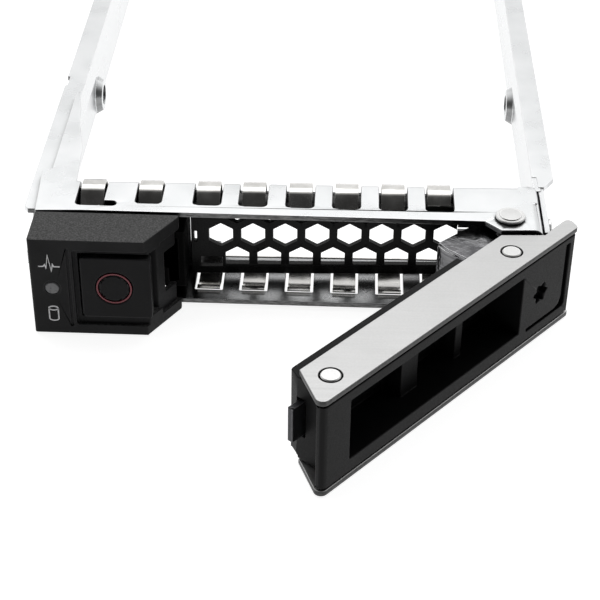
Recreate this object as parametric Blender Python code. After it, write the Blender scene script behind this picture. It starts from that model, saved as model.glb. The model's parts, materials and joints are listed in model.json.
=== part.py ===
"""Hot-swap carrier for a 2.5 inch disk drive, empty, with its ejector handle swung open.

Lengths are written in millimetres and scaled to metres when a mesh is made. In the carrier's own
coordinates X runs to the right and is 0 midway between the rails, Y runs to the back and is 0 at the
front edge of the sheet-metal bracket, and Z is 0 under the bracket. The handle is drawn closed, about
its pivot, and is then turned open. The whole carrier hangs from one empty, which puts the model's
origin under the middle of its footprint.
"""

import math

import bmesh
import bpy
from mathutils import Matrix, Vector

MM = 0.001

# Sheet metal and the clearance left between neighbouring pieces
SHEET = 0.8
GAP = 0.3
ROUND_STEPS = 5

# Overall layout
BASE = -0.3                      # the surface that the carrier stands on
BRACKET_TOP = 15.6
BRACKET_BACK = 9.6
BRACKET_FRONT = 0.7
SIDE_WALL = 35.9                 # outer face of the bracket's side walls
WEB_SKEW = 0.0208                # how far back the web runs for each millimetre to the right
SKEW_START = -30.0
DRIVE_WIDTH = 69.85              # a 2.5 inch drive, between the rails' seats
SEAT_CLEARANCE = 0.15
RAIL_INNER = 35.45               # upper band of a rail
RAIL_LOWER_INNER = 36.2          # lower band of a rail, set outwards
RAIL_FLANGE_OUT = 38.7
RAIL_TOP = 14.5
RAIL_BOTTOM = 1.9
RAIL_END = 139.0
SECTION_FRONT = 15.2             # where a rail's full section begins

# Drive screws, at the drive's own hole pitch
SCREW_Y = (57.0, 133.6)
SCREW_Z = 4.1
SCREW_R = 1.7
SEAT_R = 2.6
DIMPLE_R = 3.4

# Windows for the spring fingers, as (left, right)
WINDOWS = [(-31.2, -27.1), (-22.65, -18.75), (-14.3, -10.15), (-7.7, -3.5),
           (-0.9, 3.3), (5.85, 10.0), (12.6, 16.75), (19.3, 23.45)]
WINDOW_FRONT = 2.9
FIRST_WINDOW_FRONT = 2.1
FINGER_WIDTH = 3.4
FINGER_SHEET = 0.25

# Honeycomb
HEX_PITCH = 4.745
HEX_R = 2.03
HEX_FIRST_X = -10.5
HEX_UPPER_Z = 8.55
HEX_ROW = 4.12
HEX_FLOOR_Z = 2.9
HEX_CEILING_Z = 12.9
GRILLE_TOP = 13.6
WEB_OPENING = [(-15.3, 5.0), (-10.6, 5.0), (-10.6, 2.0), (24.6, 2.0), (24.6, 11.0), (-15.3, 11.0)]

# Front cover of the latch
COVER_LEFT = -36.5
COVER_FRONT = -7.5
COVER_CORNER = -20.1             # where the front face meets the slanted side
COVER_RIGHT = -15.95
COVER_SLANT_END = -0.6
COVER_BACK = 0.0
COVER_WALL = 1.3

# Button
BUTTON_X = (-29.3, -19.3)
BUTTON_Z = (2.75, 12.9)
BUTTON_FACE = -7.6
BUTTON_BACK = -3.6
BUTTON_PLATE = 1.6
RING_CENTRE = (-24.6, 7.8)
RING_R = 2.42
RING_HALF = 0.11

# Status light
LENS_CENTRE = (-33.45, 7.5)
LENS_R = 0.98

# Latch housing, lever and button spring
HOUSING_Z = (3.1, 12.5)
SPRING_CENTRE = (-25.0, 9.7)
LATCH_PIN = (-21.5, 3.4)
LATCH_PIN_R = 0.8
LATCH_Z = (4.6, 7.4)

# Handle
PIVOT = (31.29, 1.69)
PIVOT_R = 1.5
OPEN_ANGLE = 50.0
HANDLE_TOP = 15.2
HANDLE_BOTTOM = -0.2
HANDLE_PLATE = 0.8
HANDLE_FRONT = -8.1
HANDLE_REAR = -1.3
BODY_REAR = 0.6
HANDLE_CUT_DISTANCE = 3.72       # from the pivot to the plates' slanted end
HANDLE_RIVETS = [(-44.35, -4.9), (-6.3, -4.9)]
HANDLE_RIVET_R = 1.33
HANDLE_SHANK_R = 0.42
HANDLE_BORE_R = 0.72


# ---------------------------------------------------------------- shape helpers

def remove_everything():
    for old in list(bpy.data.objects):
        bpy.data.objects.remove(old)


def material(name, colour, roughness, metallic=0.0):
    """A Principled material, made once for each name."""
    found = bpy.data.materials.get(name)
    if found:
        return found
    made = bpy.data.materials.new(name)
    made.use_nodes = True
    shader = made.node_tree.nodes["Principled BSDF"]
    shader.inputs["Base Color"].default_value = (*colour, 1.0)
    shader.inputs["Roughness"].default_value = roughness
    shader.inputs["Metallic"].default_value = metallic
    return made


def zinc_steel():
    return material("zinc_steel", (0.74, 0.75, 0.74), 0.28, 1.0)


def satin_steel():
    return material("satin_steel", (0.55, 0.55, 0.54), 0.38, 1.0)


def spring_steel():
    return material("spring_steel", (0.62, 0.60, 0.55), 0.22, 1.0)


def black_plastic():
    return material("black_plastic", (0.020, 0.020, 0.021), 0.5)


def clear_plastic():
    return material("clear_plastic", (0.82, 0.86, 0.88), 0.12)


def lens_plastic():
    return material("lens_plastic", (0.28, 0.29, 0.30), 0.3)


def red_plastic():
    return material("red_plastic", (0.30, 0.03, 0.04), 0.4)


def black_steel():
    return material("black_steel", (0.05, 0.05, 0.055), 0.3, 1.0)


def from_bmesh(name, mesh, parent):
    """An object from a bmesh drawn in millimetres."""
    bmesh.ops.remove_doubles(mesh, verts=mesh.verts, dist=0.0005)
    bmesh.ops.recalc_face_normals(mesh, faces=mesh.faces)
    bmesh.ops.scale(mesh, vec=Vector((MM, MM, MM)), verts=mesh.verts)
    data = bpy.data.meshes.new(name)
    mesh.to_mesh(data)
    mesh.free()
    made = bpy.data.objects.new(name, data)
    bpy.context.scene.collection.objects.link(made)
    made.parent = parent
    return made


def finish(made, shader, angle=32.0):
    """Gives a sub-part its material and smooth shading on its round faces."""
    made.data.materials.append(shader)
    made.data.shade_smooth()
    made.data.set_sharp_from_angle(angle=math.radians(angle))
    return made


PLACE = {
    "Z": lambda a, b, level: (a, b, level),
    "Y": lambda a, b, level: (a, level, b),
    "X": lambda a, b, level: (level, a, b),
}


def add_prism(mesh, outline, low, high, axis="Z"):
    """Extrudes a closed outline from low to high along an axis, inside a bmesh."""
    place = PLACE[axis]
    base = [mesh.verts.new(place(a, b, low)) for a, b in outline]
    face = mesh.faces.new(base)
    pushed = bmesh.ops.extrude_face_region(mesh, geom=[face])["geom"]
    moved = [v for v in pushed if isinstance(v, bmesh.types.BMVert)]
    bmesh.ops.translate(mesh, vec=Vector(place(0, 0, high - low)), verts=moved)


def prism(name, outline, low, high, parent, axis="Z"):
    mesh = bmesh.new()
    add_prism(mesh, outline, low, high, axis)
    return from_bmesh(name, mesh, parent)


def rectangle(left, right, low, high):
    return [(left, low), (right, low), (right, high), (left, high)]


def arc(centre, radius, start, end, steps=ROUND_STEPS):
    """Points along an arc, with angles in degrees."""
    points = []
    for i in range(steps + 1):
        angle = math.radians(start + (end - start) * i / steps)
        points.append((centre[0] + radius * math.cos(angle), centre[1] + radius * math.sin(angle)))
    return points


def circle(centre, radius, steps=24):
    return arc(centre, radius, 0, 360, steps)[:-1]


def rounded(points, radii, steps=3):
    """A closed outline with its corners rounded. A radius of 0 keeps a corner sharp."""
    result = []
    count = len(points)
    for i, corner in enumerate(points):
        radius = radii[i] if isinstance(radii, (list, tuple)) else radii
        here = Vector(corner)
        if radius <= 0:
            result.append(tuple(here))
            continue
        back = (Vector(points[i - 1]) - here).normalized()
        ahead = (Vector(points[(i + 1) % count]) - here).normalized()
        half = back.angle(ahead) / 2
        reach = radius / math.tan(half)
        centre = here + (back + ahead).normalized() * (radius / math.sin(half))
        start = here + back * reach - centre
        sweep = start.angle_signed(here + ahead * reach - centre)
        for k in range(steps + 1):
            spoke = start.copy()
            spoke.rotate(Matrix.Rotation(-sweep * k / steps, 2))
            result.append(tuple(centre + spoke))
    return result


def hexagon(x, z):
    """A hexagon with a corner on top, cut flat at the honeycomb's floor and ceiling."""
    points = [(x + HEX_R * math.cos(math.radians(30 + 60 * k)),
               z + HEX_R * math.sin(math.radians(30 + 60 * k))) for k in range(6)]
    return [(px, min(max(pz, HEX_FLOOR_Z), HEX_CEILING_Z)) for px, pz in points
            if HEX_FLOOR_Z < pz < HEX_CEILING_Z or abs(px - x) > 0.1]


def honeycomb_cells():
    """The outlines of the vent's cells: one whole row between two rows that are cut flat."""
    cells = [hexagon(HEX_FIRST_X + HEX_PITCH * i, HEX_UPPER_Z) for i in range(8)]
    for row in (-HEX_ROW, HEX_ROW):
        cells += [hexagon(HEX_FIRST_X + HEX_PITCH * (i + 0.5), HEX_UPPER_Z + row) for i in range(7)]
    return cells


def cutter(name, shapes, parent):
    """One hidden tool made of separate prisms, each given as (outline, low, high, axis)."""
    mesh = bmesh.new()
    for outline, low, high, axis in shapes:
        add_prism(mesh, outline, low, high, axis)
    made = from_bmesh(name, mesh, parent)
    made.hide_render = True
    made.display_type = "WIRE"
    return made


def combine(target, tool, operation):
    step = target.modifiers.new(operation.lower() + "_" + tool.name, "BOOLEAN")
    step.operation = operation
    step.object = tool
    step.solver = "EXACT"


def cut(target, label, shapes):
    """Cuts separate prisms out of a sub-part."""
    combine(target, cutter(target.name + "_" + label, shapes, target.parent), "DIFFERENCE")


def add(target, label, shapes):
    """Adds separate prisms to a sub-part."""
    combine(target, cutter(target.name + "_" + label, shapes, target.parent), "UNION")


def band(path, thickness):
    """The closed outline of a strip of sheet whose middle follows a path."""
    count = len(path)
    left, right = [], []
    for i, point in enumerate(path):
        before = Vector(path[max(i - 1, 0)])
        after = Vector(path[min(i + 1, count - 1)])
        along = (after - before).normalized()
        side = Vector((-along.y, along.x)) * thickness / 2
        left.append(tuple(Vector(point) + side))
        right.append(tuple(Vector(point) - side))
    return left + right[::-1]


def turned(name, profile, centre, parent, axis="Z", steps=24):
    """A solid of revolution: profile is (radius, level) from one end to the other, on the axis."""
    place = PLACE[axis]
    mesh = bmesh.new()
    rings = []
    for radius, level in profile:
        if radius == 0:
            rings.append([mesh.verts.new(place(centre[0], centre[1], level))])
            continue
        ring = [mesh.verts.new(place(a, b, level)) for a, b in circle(centre, radius, steps)]
        rings.append(ring)
    for lower, upper in zip(rings, rings[1:]):
        for k in range(steps):
            corners = [lower[k % len(lower)], lower[(k + 1) % len(lower)],
                       upper[(k + 1) % len(upper)], upper[k % len(upper)]]
            distinct = list(dict.fromkeys(corners))
            mesh.faces.new(distinct)
    return from_bmesh(name, mesh, parent)


def wire(name, points, radius, parent, sides=6):
    """A round wire along a list of 3D points, with closed ends."""
    mesh = bmesh.new()
    rings = []
    count = len(points)
    up = None
    for i, point in enumerate(points):
        here = Vector(point)
        along = (Vector(points[min(i + 1, count - 1)]) - Vector(points[max(i - 1, 0)])).normalized()
        up = (up - along * up.dot(along)).normalized() if up else along.orthogonal().normalized()
        side = along.cross(up)
        ring = []
        for k in range(sides):
            angle = 2 * math.pi * k / sides
            offset = up * math.cos(angle) + side * math.sin(angle)
            ring.append(mesh.verts.new(here + offset * radius))
        rings.append(ring)
    for lower, upper in zip(rings, rings[1:]):
        for k in range(sides):
            mesh.faces.new([lower[k], lower[(k + 1) % sides], upper[(k + 1) % sides], upper[k]])
    mesh.faces.new(rings[0])
    mesh.faces.new(rings[-1])
    return from_bmesh(name, mesh, parent)


def skew_back(made, front):
    """Swings what lies behind a depth Y a little backwards towards the right."""
    for vertex in made.data.vertices:
        if vertex.co.y > front * MM:
            vertex.co.y += WEB_SKEW * (vertex.co.x - SKEW_START * MM)


def empty(name, location, parent, turn=0.0):
    made = bpy.data.objects.new(name, None)
    bpy.context.scene.collection.objects.link(made)
    made.parent = parent
    made.location = [value * MM for value in location]
    made.rotation_euler = (0, 0, math.radians(turn))
    return made


# ---------------------------------------------------------------- bracket

def tongue_outline(back):
    """The tongue that carries the handle's pivot, up to the start of the folded side."""
    return [(27.7, 0.5), (29.9, -1.55), (34.6, -1.3), (34.6, back), (27.7, back)]


def front_bracket(parent):
    """The zinc-plated channel across the front: two flanges, a vented web and two side walls."""
    inner = 0.5
    outer = inner + SHEET
    top, back = BRACKET_TOP, BRACKET_BACK
    channel = [(0.5, 0.0)]
    channel += arc((back - outer, outer), outer, -90, 0)
    channel += arc((back - outer, top - outer), outer, 0, 90)
    channel += [(6.0, top), (6.0, top - SHEET)]
    channel += arc((back - outer, top - outer), inner, 90, 0)
    channel += arc((back - outer, outer), inner, 0, -90)
    channel += [(0.5, SHEET)]
    bracket = prism("front_bracket", channel, -35.5, 35.5, parent, "X")
    skew_back(bracket, 7.0)

    left_edge = [(-36.0, 36.0), (-36.0, 12.1), (-37.4, 11.4), (-36.6, BRACKET_FRONT - 0.35)]
    gusset = [(-31.8, 8.0), (-32.4, 18.6), (-33.9, 25.9), (-34.8, 33.0), (-35.5, 36.2)]
    flange = left_edge + [(-30.0, BRACKET_FRONT), (27.7, BRACKET_FRONT)] + tongue_outline(8.0)[1:4]
    flange += gusset
    add(bracket, "top_flange", [(flange, top - SHEET, top, "Z")])

    fold = [(33.0, top), (34.6, top)]
    fold += arc((SIDE_WALL - outer, top - outer), outer, 90, 0)[1:]
    fold += [(SIDE_WALL, 0.0), (SIDE_WALL - SHEET, 0.0)]
    fold += arc((SIDE_WALL - outer, top - outer), inner, 0, 90)
    fold += [(33.0, top - SHEET)]
    add(bracket, "right_wall", [(fold, -1.3, 10.6, "Y")])
    left_wall = rectangle(-SIDE_WALL, -SIDE_WALL + SHEET, 0.0, top - SHEET / 2)
    add(bracket, "left_wall", [(left_wall, 1.0, 9.3, "Y")])
    lower_tongue = tongue_outline(6.0)
    lower_tongue[2:4] = [(35.5, -1.3), (35.5, 6.0)]
    add(bracket, "lower_tongue", [(lower_tongue, 0.0, SHEET, "Z")])

    shapes = []
    for left, right in WINDOWS:
        front = FIRST_WINDOW_FRONT if left == WINDOWS[0][0] else WINDOW_FRONT
        window = rounded(rectangle(left, right, front, 12.0), [0.8, 0.8, 0, 0])
        shapes.append((window, 13.9, 18.0, "Z"))
        lower = rectangle(left, right, WINDOW_FRONT + 0.15, 12.0)
        shapes.append((lower, -2.0, 1.1, "Z"))
    cut(bracket, "windows", shapes)
    step = rounded(rectangle(-27.6, -25.2, FIRST_WINDOW_FRONT, 3.5), [0, 0.6, 0.6, 0])
    cut(bracket, "window_step", [(step, 13.9, 18.0, "Z")])
    cut(bracket, "web_opening", [(rounded(WEB_OPENING, 0.5), 7.5, 11.5, "Y")])
    keyhole = rectangle(24.0, 27.2, 7.9, 8.5)
    cut(bracket, "keyhole", [(keyhole, 7.5, 11.5, "Y")])
    cut(bracket, "keyhole_end", [(circle((27.4, 8.2), 0.8, 12), 7.5, 11.5, "Y")])

    cut(bracket, "pivot_hole", [(circle(PIVOT, PIVOT_R + GAP), -2.0, 18.0, "Z")])
    rivets = [(circle(spot, 1.4, 16), side * 33.0, side * 37.0, "X")
              for side in (-1, 1) for spot in rail_rivet_spots()]
    cut(bracket, "rivet_holes", rivets)
    return finish(bracket, zinc_steel())


# ---------------------------------------------------------------- rails

def rail_rivet_spots():
    """Where each rail is riveted to the bracket's side wall, as (Y, Z)."""
    return [(5.2, 4.4), (5.2, 11.2)]


def rail_section(side):
    """A rail's cross-section: guide flange, upper band, offset, and lower band."""
    out = RAIL_FLANGE_OUT
    points = [(out, RAIL_TOP), (RAIL_INNER, RAIL_TOP), (RAIL_INNER, 10.0),
              (RAIL_LOWER_INNER, 9.1), (RAIL_LOWER_INNER, RAIL_BOTTOM),
              (RAIL_LOWER_INNER + SHEET, RAIL_BOTTOM), (RAIL_LOWER_INNER + SHEET, 8.8),
              (RAIL_INNER + SHEET, 9.7), (RAIL_INNER + SHEET, RAIL_TOP - SHEET),
              (out, RAIL_TOP - SHEET)]
    return [(side * x, z) for x, z in points]


def rail(side, name, wall_front, band_front, flange_front, corner, parent):
    """One side rail. Its front wall stands outside the bracket's side wall and is riveted to it, its
    upper band starts behind that wall, and its flange starts with a slanted corner."""
    low = side * RAIL_LOWER_INNER
    high = side * (RAIL_LOWER_INNER + SHEET)
    made = prism(name, rail_section(side), SECTION_FRONT, RAIL_END, parent, "Y")
    wall = rectangle(low, high, BASE, RAIL_TOP - 0.2)
    add(made, "front_wall", [(wall, wall_front, SECTION_FRONT + 0.6, "Y")])
    joggle = rectangle(side * RAIL_INNER, side * (RAIL_LOWER_INNER + 0.4), 9.4, RAIL_TOP - 0.1)
    add(made, "upper_band", [(joggle, band_front, SECTION_FRONT + 0.8, "Y")])
    out = side * RAIL_FLANGE_OUT
    across, back = corner
    lip = [(low, flange_front), (out - side * across, flange_front), (out, flange_front + back),
           (out, SECTION_FRONT + 1.5), (low, SECTION_FRONT + 1.5)]
    add(made, "front_flange", [(lip, RAIL_TOP - SHEET, RAIL_TOP, "Z")])
    foot = [(118.0, RAIL_BOTTOM + 1), (121.0, BASE), (134.0, BASE), (137.5, RAIL_BOTTOM + 1)]
    add(made, "rear_foot", [(foot, low, high, "X")])

    seat = side * (DRIVE_WIDTH / 2 + SEAT_CLEARANCE)
    for number, y in enumerate(SCREW_Y):
        dimple = turned(f"{name}_dimple_{number}",
                        [(0, seat), (SEAT_R, seat), (DIMPLE_R, low + side * 0.3), (0, low + side * 0.3)],
                        (y, SCREW_Z), parent, "X", 28)
        dimple.hide_render = True
        dimple.display_type = "WIRE"
        combine(made, dimple, "UNION")
    bores = [(circle((y, SCREW_Z), SCREW_R, 20), side * 33.0, side * 40.0, "X") for y in SCREW_Y]
    bores += [(circle(spot, 1.4, 16), side * 34.0, side * 40.0, "X") for spot in rail_rivet_spots()]
    cut(made, "bores", bores)
    for number, y in enumerate(SCREW_Y):
        sink = turned(f"{name}_sink_{number}",
                      [(0, seat + side * 0.55), (SCREW_R + 0.1, seat + side * 0.55),
                       (DIMPLE_R, low + side * (SHEET + 0.05)), (DIMPLE_R, side * 40.0),
                       (0, side * 40.0)],
                      (y, SCREW_Z), parent, "X", 28)
        sink.hide_render = True
        sink.display_type = "WIRE"
        combine(made, sink, "DIFFERENCE")

    ends = [([(RAIL_END - 5.0, 17.0), (RAIL_END + 2, 17.0), (RAIL_END + 2, 8.0), (RAIL_END, 10.5)],
             side * 30.0, side * 41.0, "X"),
            ([(RAIL_END - 1.5, 0.0), (RAIL_END + 2, 0.0), (RAIL_END + 2, 7.0), (RAIL_END, 4.5)],
             side * 30.0, side * 41.0, "X")]
    cut(made, "end_corners", ends)
    return made


def left_rail(parent):
    made = rail(-1, "left_rail", 1.0, 9.8, 2.4, (0.6, 0.8), parent)
    notch = rectangle(-41.0, -38.3, 40.6, 43.6)
    cut(made, "flange_notch", [(notch, 10.0, 18.0, "Z")])
    return finish(made, zinc_steel())


def right_rail(parent):
    made = rail(1, "right_rail", 0.2, 11.3, 12.3, (1.6, 2.5), parent)
    return finish(made, zinc_steel())


def rail_rivet(name, side, spot, parent):
    """A flat-headed rivet through a rail and the bracket's side wall."""
    inside = side * (SIDE_WALL - SHEET)
    outside = side * (RAIL_LOWER_INNER + SHEET)
    profile = [(0, inside - side * 0.8), (1.6, inside - side * 0.8), (2.0, inside - side * 0.6),
               (2.0, inside - side * GAP), (1.1, inside - side * GAP), (1.1, outside + side * GAP),
               (2.0, outside + side * GAP), (2.0, outside + side * 0.6), (1.6, outside + side * 0.8),
               (0, outside + side * 0.8)]
    return finish(turned(name, profile, spot, parent, "X", 16), satin_steel())


def light_pipe(parent):
    """The clear bar that carries light along the left rail, then in to the lens behind the cover."""
    outline = [(-38.3, 136.0), (-38.3, 0.2), (-35.2, -4.2), (-34.3, -5.2), (-32.6, -5.2), (-32.6, -4.2),
               (-34.2, -3.7), (-37.3, 0.7), (-37.3, 136.0)]
    made = prism("light_pipe", outline, 6.4, 8.6, parent)
    return finish(made, clear_plastic())


# ---------------------------------------------------------------- grounding springs

TOP_FINGER = [(10.05, 11.9), (10.05, 14.2), (9.85, 14.9), (9.4, 15.35), (8.7, 15.55), (7.6, 15.62),
              (6.9, 15.55), (6.45, 15.3), (5.9, 14.75), (5.3, 14.1), (4.8, 13.4), (4.4, 12.7)]
BOTTOM_FINGER = [(10.05, 1.95), (10.05, 1.3), (9.8, 0.7), (9.3, 0.35), (8.4, 0.2), (6.0, 0.25),
                 (4.9, 0.4), (4.2, 0.75), (3.75, 1.1), (3.35, 1.22), (2.65, 1.24)]


def between_fingers():
    """The stretches of a grounding strip, as (left, right), that lie between its fingers."""
    edges = [WINDOWS[0][0] - 2.0]
    for left, right in WINDOWS:
        middle = (left + right) / 2
        edges += [middle - FINGER_WIDTH / 2, middle + FINGER_WIDTH / 2]
    edges.append(WINDOWS[-1][1] + 2.0)
    return list(zip(edges[::2], edges[1::2]))


def grounding_strip(name, path, skew_front, root, tip, parent):
    """A strip of springs: one finger for each window of a flange, joined by a band behind the web.
    The fingers are parted over the ranges of heights called root and, at the front, tip."""
    made = prism(name, band(path, FINGER_SHEET), WINDOWS[0][0] - 0.6, WINDOWS[-1][1] + 0.6, parent, "X")
    skew_back(made, skew_front)
    cut(made, "root_gaps", [(rectangle(a, b, 2.0, 12.5), *root, "Z") for a, b in between_fingers()])
    cut(made, "tip_gaps", [(rectangle(a, b, 2.0, 9.0), *tip, "Z") for a, b in between_fingers()])
    return made


def grounding_strip_top(parent):
    """Fingers that come up through the windows; the last one is short, clear of the hinge."""
    made = grounding_strip("grounding_strip_top", TOP_FINGER, 0.0, (13.4, 20.0), (10.0, 13.6), parent)
    cut(made, "hinge_room", [(rectangle(*WINDOWS[-1], 2.0, 9.0), 10.0, 14.35, "Z")])
    return finish(made, spring_steel())


def grounding_strip_bottom(parent):
    """Fingers that lie in the lower windows, with their tips on the inner side of the flange."""
    made = grounding_strip("grounding_strip_bottom", BOTTOM_FINGER, 7.0, (-4.0, 1.25), (1.0, 3.0), parent)
    return finish(made, spring_steel())


# ---------------------------------------------------------------- latch cover and vent

def slant_x(y, inset=0.0):
    """The cover's slanted side at a depth Y, moved inwards by inset."""
    share = (y - COVER_FRONT) / (COVER_SLANT_END - COVER_FRONT)
    return COVER_CORNER + share * (COVER_RIGHT - COVER_CORNER) - inset


def bezel_cover(parent):
    """The black front cover, with a slanted side where the closed handle ends."""
    outline = [(COVER_LEFT, COVER_BACK), (COVER_LEFT, COVER_FRONT), (COVER_CORNER, COVER_FRONT),
               (COVER_RIGHT, COVER_SLANT_END), (COVER_RIGHT, COVER_BACK)]
    outline = rounded(outline, [0, 0.4, 0.25, 0.3, 0])
    made = prism("bezel_cover", outline, BASE, BRACKET_TOP, parent)
    inside_front = COVER_FRONT + COVER_WALL
    wall = 1.7
    hollow = [(COVER_LEFT + COVER_WALL, 2.0), (COVER_LEFT + COVER_WALL, inside_front),
              (slant_x(inside_front, wall), inside_front), (slant_x(COVER_SLANT_END, wall), COVER_SLANT_END),
              (slant_x(COVER_SLANT_END, wall), 2.0)]
    cut(made, "hollow", [(hollow, BASE + COVER_WALL, BRACKET_TOP - COVER_WALL, "Z")])

    pocket = rounded(rectangle(-30.3, -17.0, 1.3, 13.9), [0.4, 0, 0, 0.4])
    cut(made, "button_pocket", [(pocket, COVER_FRONT - 1.0, COVER_FRONT + 0.6, "Y")])
    window = rectangle(BUTTON_X[0] - GAP, -17.0, BUTTON_Z[0] - GAP, BUTTON_Z[1] + GAP)
    cut(made, "button_window", [(window, COVER_FRONT - 1.0, -4.2, "Y")])
    recess = [(slant_x(-4.4) + 1.0, -4.4), (slant_x(-4.4, 0.7), -4.4),
              (slant_x(COVER_SLANT_END, 0.7), COVER_SLANT_END), (slant_x(COVER_SLANT_END, 0.7), 2.0),
              (slant_x(COVER_SLANT_END) + 1.0, 2.0)]
    cut(made, "side_recess", [(recess, 1.4, 13.6, "Z")])
    slot = rectangle(-20.5, -15.0, -2.7, 2.0)
    cut(made, "latch_slot", [(slot, 4.2, 10.9, "Z")])

    cut(made, "groove", [(rectangle(-31.1, -30.75, 1.0, 14.2), COVER_FRONT - 1, COVER_FRONT + 0.25, "Y")])
    cut(made, "lens_hole", [(circle(LENS_CENTRE, LENS_R + 0.25, 20), -9.0, -5.0, "Y")])
    cut(made, "pipe_slot", [(rectangle(-40.0, -34.0, -5.0, 2.0), 6.0, 9.0, "Z")])
    return finish(made, black_plastic())


def latch_housing(parent):
    """The black box inside the channel that holds the lever and its spring."""
    made = prism("latch_housing", rectangle(-33.9, -15.3, COVER_BACK + GAP, 6.6),
                 HOUSING_Z[0], HOUSING_Z[1], parent)
    cut(made, "hollow", [(rectangle(-32.9, -16.3, -1.0, 5.6), HOUSING_Z[0] + 1.0, HOUSING_Z[1] - 1.0, "Z")])
    cut(made, "pin_hole", [(circle(LATCH_PIN, LATCH_PIN_R + GAP, 16), 0.0, 16.0, "Z")])
    cut(made, "corner", [(rectangle(-40.0, -30.6, -1.0, 3.2), 0.0, 20.0, "Z")])
    return finish(made, black_plastic())


def vent_grille(parent):
    """The black honeycomb plate in front of the web, a little askew to it."""
    left, right = -14.9, 24.35
    outline = [(left, 5.8), (right, 7.45), (right, 8.45), (left, 6.8)]
    made = prism("vent_grille", outline, 1.75, GRILLE_TOP, parent)
    cut(made, "cells", [(cell, 4.0, 10.0, "Y") for cell in honeycomb_cells()])
    cut(made, "slit", [(rectangle(-14.45, -14.05, 7.4, 9.2), 4.0, 10.0, "Y")])
    cut(made, "small_window", [(rectangle(-13.6, -10.3, 3.0, 4.7), 4.0, 10.0, "Y")])
    return finish(made, black_plastic())


def status_lens(parent):
    x, z = LENS_CENTRE
    profile = [(0, -7.55), (LENS_R - 0.1, -7.55), (LENS_R, -7.45), (LENS_R, -5.95), (1.6, -5.95),
               (1.6, -5.5), (0, -5.5)]
    return finish(turned("status_lens", profile, (x, z), parent, "Y", 24), lens_plastic())


# ---------------------------------------------------------------- button and latch

def release_button(parent):
    """The square push button, its hollow skirt and the stem that pushes the lever."""
    left, right = BUTTON_X
    low, high = BUTTON_Z
    face = rounded(rectangle(left, right, low, high), 0.5)
    made = prism("release_button", face, BUTTON_FACE, BUTTON_FACE + BUTTON_PLATE, parent, "Y")
    skirt = rectangle(left + 0.2, -21.6, low + 0.2, high - 0.2)
    add(made, "skirt", [(skirt, BUTTON_FACE + 1.0, BUTTON_BACK, "Y")])
    add(made, "stem", [(rectangle(-28.8, -27.5, 4.8, 7.2), BUTTON_BACK - 1.0, 1.7, "Y")])
    groove = circle(RING_CENTRE, RING_R + RING_HALF + GAP / 2, 40)
    cut(made, "ring_groove", [(groove, BUTTON_FACE - 1.0, BUTTON_FACE + 0.7, "Y")])
    core = circle(RING_CENTRE, RING_R - RING_HALF - GAP / 2, 40)
    add(made, "ring_core", [(core, BUTTON_FACE, BUTTON_FACE + 1.0, "Y")])
    pocket = circle(SPRING_CENTRE, 1.9, 16)
    cut(made, "spring_pocket", [(pocket, BUTTON_FACE + 2.4, 0.0, "Y")])
    return finish(made, black_plastic())


def button_ring(parent):
    """The thin red ring let into the button's face."""
    made = prism("button_ring", circle(RING_CENTRE, RING_R + RING_HALF, 40), BUTTON_FACE - 0.02,
                 BUTTON_FACE + 0.4, parent, "Y")
    hole = circle(RING_CENTRE, RING_R - RING_HALF, 40)
    cut(made, "hole", [(hole, BUTTON_FACE - 1.0, BUTTON_FACE + 1.0, "Y")])
    return finish(made, red_plastic())


def coil_points(centre, radius, low, high, turns, steps, axis):
    """Points on a helix along an axis."""
    place = PLACE[axis]
    points = []
    for i in range(turns * steps + 1):
        angle = 2 * math.pi * i / steps
        level = low + (high - low) * i / (turns * steps)
        across = centre[0] + radius * math.cos(angle)
        other = centre[1] + radius * math.sin(angle)
        points.append(place(across, other, level))
    return points


def button_spring(parent):
    points = coil_points(SPRING_CENTRE, 1.2, BUTTON_FACE + 3.0, 5.0, 7, 12, "Y")
    return finish(wire("button_spring", points, 0.2, parent), spring_steel(), 80)


def latch_lever(parent):
    """The bell crank, drawn about its pin: the button pushes its left arm, its front arm hooks the
    handle."""
    outline = [(-7.3, -1.4), (-1.6, -1.4), (-0.2, -2.8), (0.9, -4.35), (0.9, -5.05), (3.2, -5.05),
               (4.0, -4.75), (4.0, -4.55), (3.4, -4.35), (2.2, -4.35), (2.2, -0.6), (2.0, 0.7), (1.0, 1.7),
               (-1.0, 1.7), (-2.0, 0.0), (-2.2, -0.2), (-7.3, -0.2)]
    made = prism("latch_lever", outline, LATCH_Z[0], LATCH_Z[1], parent)
    cut(made, "pin_hole", [(circle((0, 0), LATCH_PIN_R + GAP, 16), 0.0, 16.0, "Z")])
    return finish(made, black_steel())


def latch_pin(parent):
    made = prism("latch_pin", circle(LATCH_PIN, LATCH_PIN_R, 16),
                 HOUSING_Z[0] + 0.2, HOUSING_Z[1] - 0.2, parent)
    return finish(made, satin_steel())


# ---------------------------------------------------------------- handle

def cut_line(v):
    """How far along the handle its slanted end lies, at a depth V."""
    return (-HANDLE_CUT_DISTANCE - 0.682 * v) / 0.731


def plate_outline():
    """A handle plate, closed, about the pivot: long and narrow, with a hook around the tongue."""
    points = [(-50.0, HANDLE_FRONT), (5.35, HANDLE_FRONT), (6.5, -5.65), (2.6, -5.65),
              (cut_line(-5.85), -5.85), (cut_line(HANDLE_REAR), HANDLE_REAR), (-46.2, HANDLE_REAR)]
    return rounded(points, [1.0, 0.8, 0.75, 0, 0, 0.15, 0.2], 5)


def handle_plate(name, low, parent):
    made = prism(name, plate_outline(), low, low + HANDLE_PLATE, parent)
    holes = [(circle(spot, HANDLE_RIVET_R + 0.22), low - 1, low + 2, "Z") for spot in HANDLE_RIVETS]
    cut(made, "rivet_holes", holes)
    return finish(made, satin_steel())


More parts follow.
